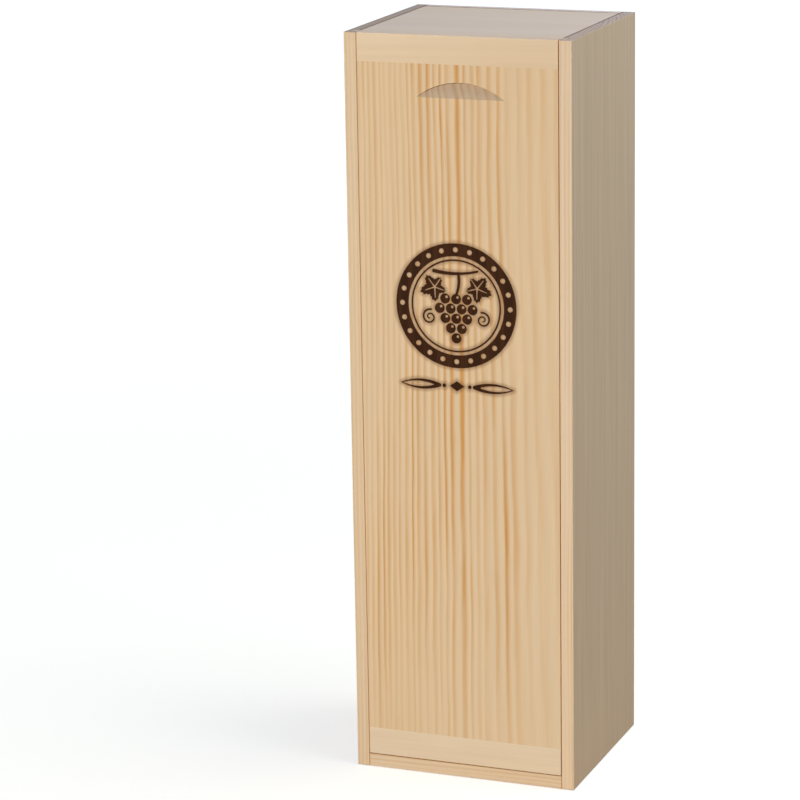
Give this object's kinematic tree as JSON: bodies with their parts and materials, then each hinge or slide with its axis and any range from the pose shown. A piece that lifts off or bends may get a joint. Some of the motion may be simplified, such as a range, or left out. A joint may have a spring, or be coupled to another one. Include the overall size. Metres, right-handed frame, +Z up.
{
  "type": "wine box",
  "caption": "Tall narrow wooden box for a wine bottle, with a framed front lid that slides up in grooves, a thumb notch and half-round bottle cradles inside.",
  "frame": {"origin": "middle of the underside of the closed box", "axes": "+Z up along the box, -Y out of the front where the lid is, +X to the right seen from the front"},
  "size_m": [0.108, 0.094, 0.35],
  "materials": {
    "side_pine": "planed, unfinished",
    "cross_pine": "planed, unfinished",
    "lid_pine": "planed, unfinished",
    "pin_beech": "plain turned",
    "brad_steel": "bright drawn wire"
  },
  "bodies": {
    "box": {"left_side_board": "side_pine", "right_side_board": "side_pine", "bottom_board": "cross_pine", "top_board": "cross_pine", "back_panel": "side_pine", "neck_cradle": "cross_pine", "body_cradle": "cross_pine", "top_left_pins": "pin_beech", "top_right_pins": "pin_beech", "bottom_left_pins": "pin_beech", "bottom_right_pins": "pin_beech", "top_brads": "brad_steel", "bottom_brads": "brad_steel", "neck_cradle_brads": "brad_steel", "body_cradle_brads": "brad_steel"},
    "lid": {"lid_panel": "lid_pine", "lid_top_batten": "cross_pine", "lid_bottom_batten": "cross_pine"}
  },
  "joints": [
    {"name": "lid_slide", "type": "slide", "parent": "box", "child": "lid", "axis": [0, 0, 1], "range_m": [0, 0.35]}
  ]
}
